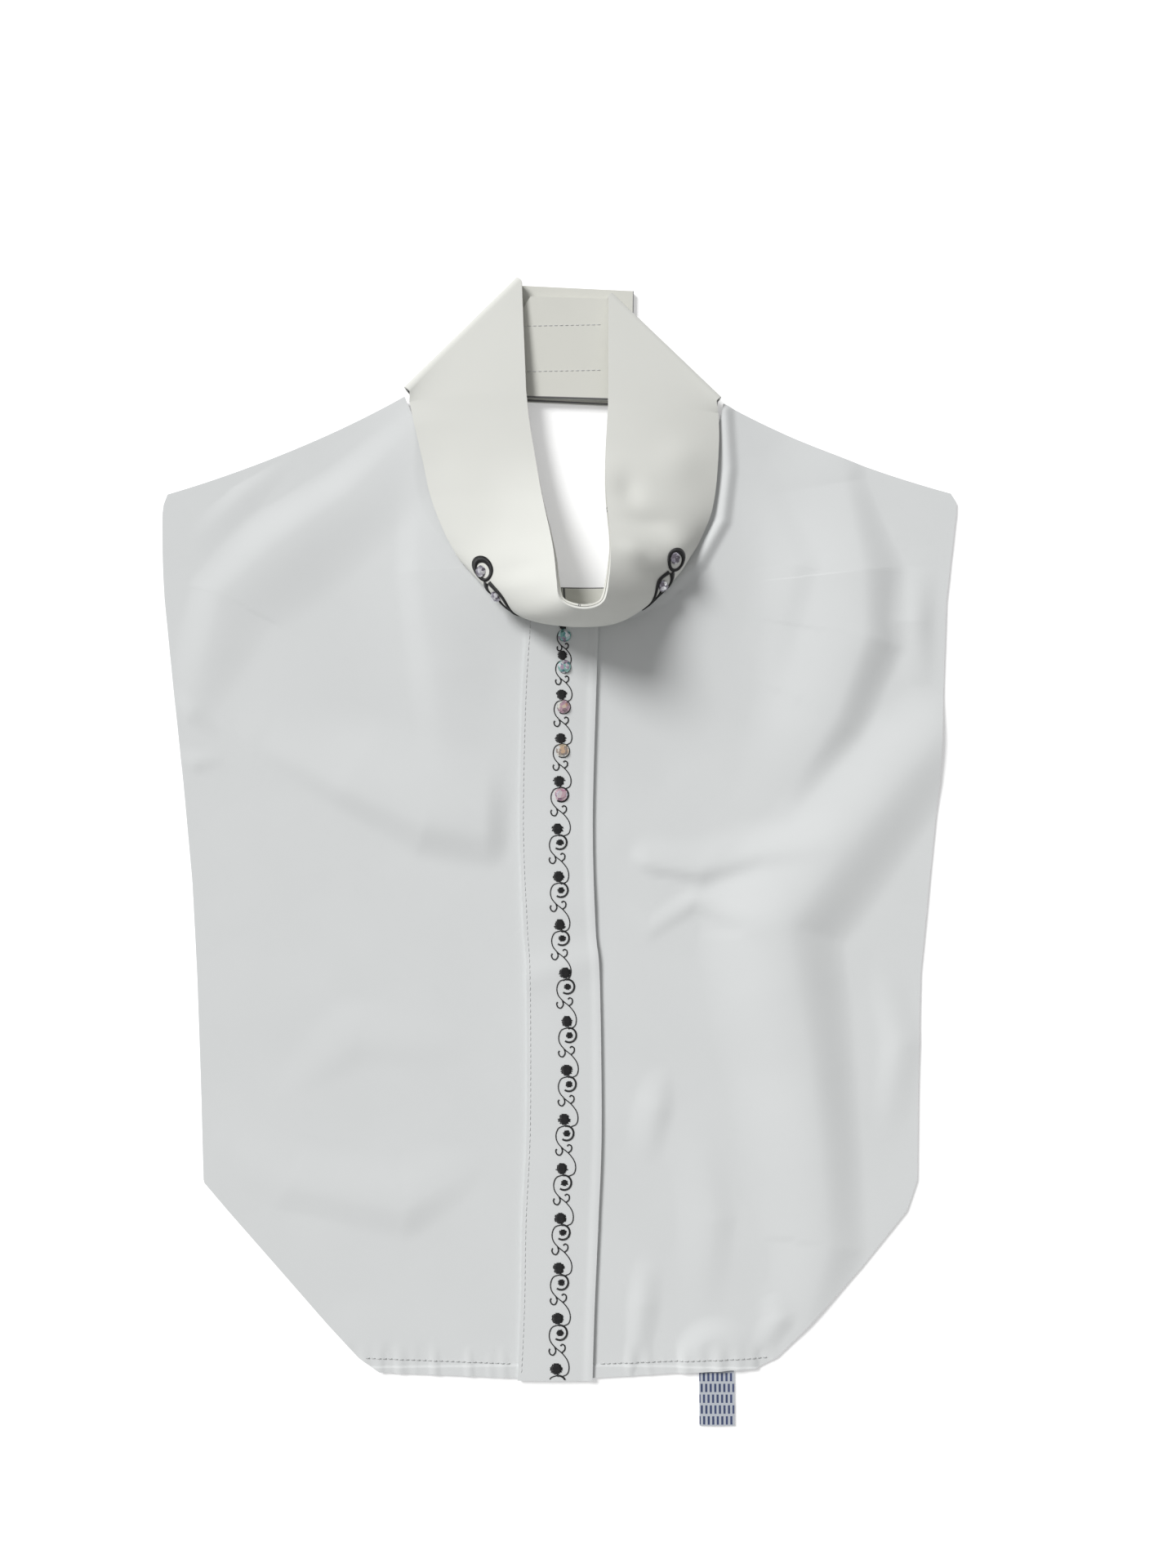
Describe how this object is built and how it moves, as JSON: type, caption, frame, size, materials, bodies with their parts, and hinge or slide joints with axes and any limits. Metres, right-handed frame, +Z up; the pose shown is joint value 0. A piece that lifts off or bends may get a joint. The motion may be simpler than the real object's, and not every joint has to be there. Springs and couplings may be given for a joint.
{
  "type": "dickey",
  "caption": "Show dickey laid flat: bib front in two halves with a placket, stand collar with checked lining folded over at the back, stitched scrolls and cut stones.",
  "frame": {"origin": "on the surface it lies on, under the middle of its box", "axes": "+X to the right of the garment as laid, +Y from hem to collar, +Z up"},
  "size_m": [0.3548, 0.5018, 0.0459],
  "materials": {
    "bib_cotton": "white cotton broadcloth with black machine embroidery",
    "collar_cotton": "stiffened off-white cotton",
    "check_lining": "off-white cotton with thin dark windowpane lines",
    "ribbon": "woven ribbon with plain navy bars",
    "iridescent_stone": "faceted stone with an iridescent coat",
    "clear_stone": "faceted clear stone"
  },
  "bodies": {
    "root": {"front_left": "bib_cotton", "front_right": "bib_cotton", "placket": "bib_cotton", "collar_outer": "collar_cotton", "collar_lining": "check_lining", "label": "ribbon", "stone_placket_1": "iridescent_stone", "stone_placket_2": "iridescent_stone", "stone_placket_3": "iridescent_stone", "stone_placket_4": "iridescent_stone", "stone_placket_5": "iridescent_stone", "stone_collar_left_upper": "clear_stone", "stone_collar_left_lower": "clear_stone", "stone_collar_right_upper": "clear_stone", "stone_collar_right_lower": "clear_stone"}
  },
  "joints": []
}
